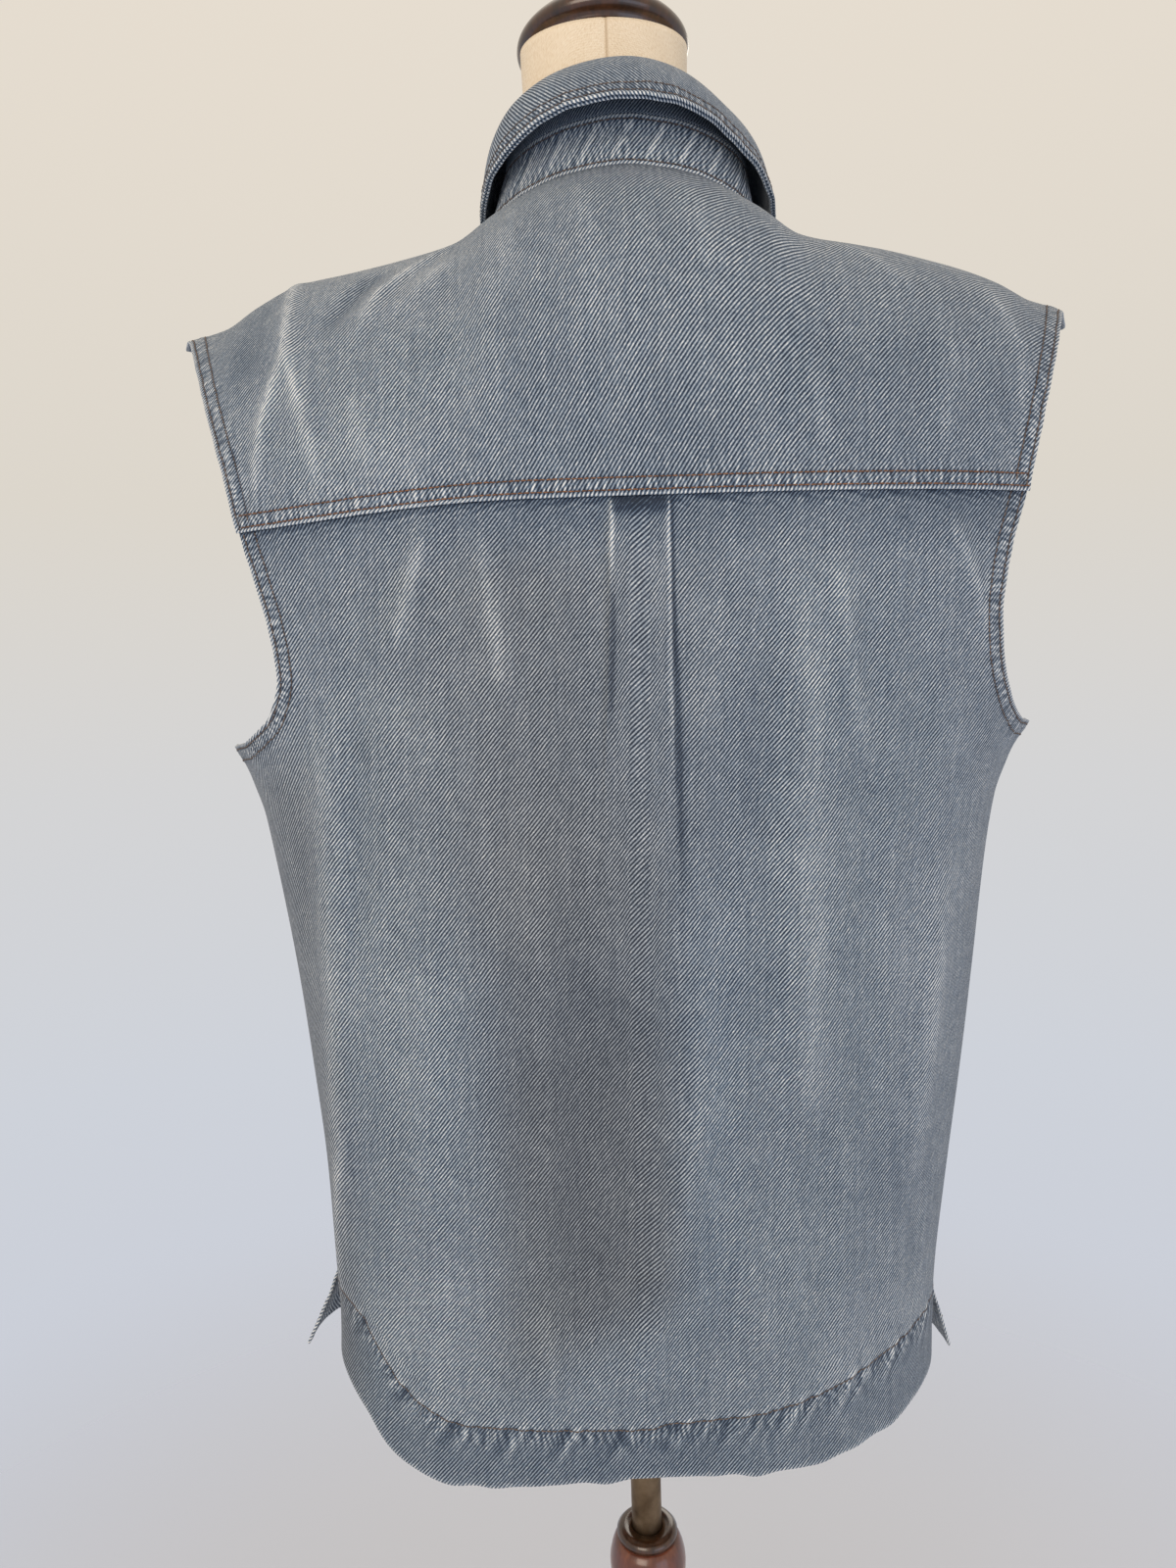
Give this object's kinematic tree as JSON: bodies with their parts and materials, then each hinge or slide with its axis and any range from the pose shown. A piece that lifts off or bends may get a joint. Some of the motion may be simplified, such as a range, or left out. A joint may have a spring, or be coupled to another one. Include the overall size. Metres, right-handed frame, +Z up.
{
  "type": "denim vest on a limbless dress form with a stand",
  "caption": "Sleeveless denim shirt vest with a yoke, back pleat and collar, buttoned on a limbless dress form with a wooden stand.",
  "frame": {"origin": "on the floor at the middle of the stand's footprint box", "axes": "+Z up; the vest's back faces +Y and its front -Y; +X is the wearer's left"},
  "size_m": [0.588, 0.5092, 1.5743],
  "materials": {
    "denim": "washed 3/1 twill, grey-blue, worn pale at the edges",
    "button_metal": "antiqued, satin",
    "form_cloth": "plain woven ecru cotton",
    "dark_wood": "dark walnut stain, gloss varnish",
    "pole_metal": "antique bronze plating, satin",
    "stand_wood": "reddish brown stain, gloss varnish"
  },
  "bodies": {
    "stand": {"post": "stand_wood", "bushing": "dark_wood", "leg_1": "stand_wood", "leg_2": "stand_wood", "leg_3": "stand_wood"},
    "mast": {"pole": "pole_metal"},
    "form": {"form_torso": "form_cloth", "neck_cap": "dark_wood", "back_panel": "denim", "yoke": "denim", "front_left": "denim", "front_right": "denim", "placket": "denim", "collar_stand": "denim", "collar_leaf": "denim", "button_1": "button_metal", "button_2": "button_metal", "button_3": "button_metal", "button_4": "button_metal", "button_5": "button_metal", "button_6": "button_metal", "button_7": "button_metal"}
  },
  "joints": [
    {"name": "pole_height", "type": "slide", "parent": "stand", "child": "mast", "axis": [0, 0, 1], "range_m": [-0.05, 0.14]},
    {"name": "form_turn", "type": "hinge", "parent": "mast", "child": "form", "pos_m": [0, 0.07737, 0.74], "axis": [0, 0, 1], "continuous": true}
  ]
}
